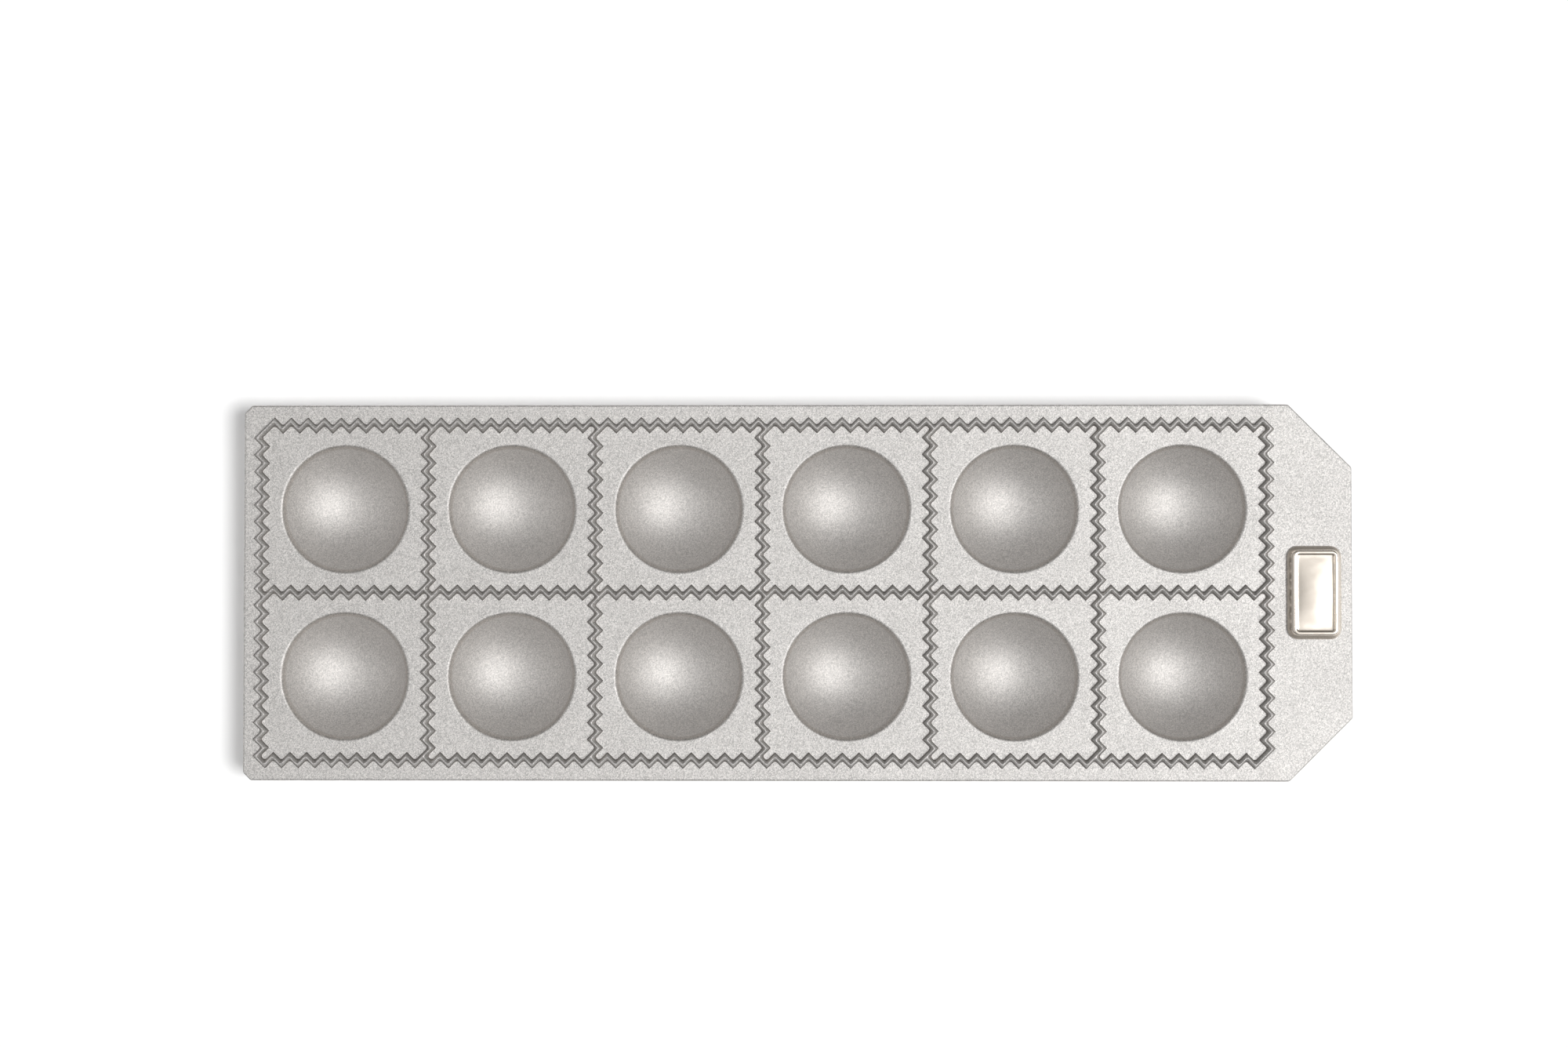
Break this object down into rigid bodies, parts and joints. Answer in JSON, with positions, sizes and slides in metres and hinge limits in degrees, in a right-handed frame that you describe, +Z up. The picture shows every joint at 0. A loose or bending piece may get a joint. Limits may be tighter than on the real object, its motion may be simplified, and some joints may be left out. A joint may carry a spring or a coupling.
{
  "type": "ravioli mold",
  "caption": "Shallow cast aluminium plate with rows of round pockets, raised zigzag cutting ridges round each, and a plain bright badge at its wide grip end.",
  "frame": {"origin": "centre of the bounding box's base, on the surface that the plate stands on", "axes": "+X along the plate towards the wide grip end, +Y across it, +Z up out of the pockets"},
  "size_m": [0.311, 0.1054, 0.0178],
  "materials": {
    "cast_plate": "fine satin, bead blasted, pale silver grey with a sandy grain",
    "bright_badge": "polished, slightly warm nickel"
  },
  "bodies": {
    "root": {"mould_plate": "cast_plate", "badge": "bright_badge"}
  },
  "joints": []
}
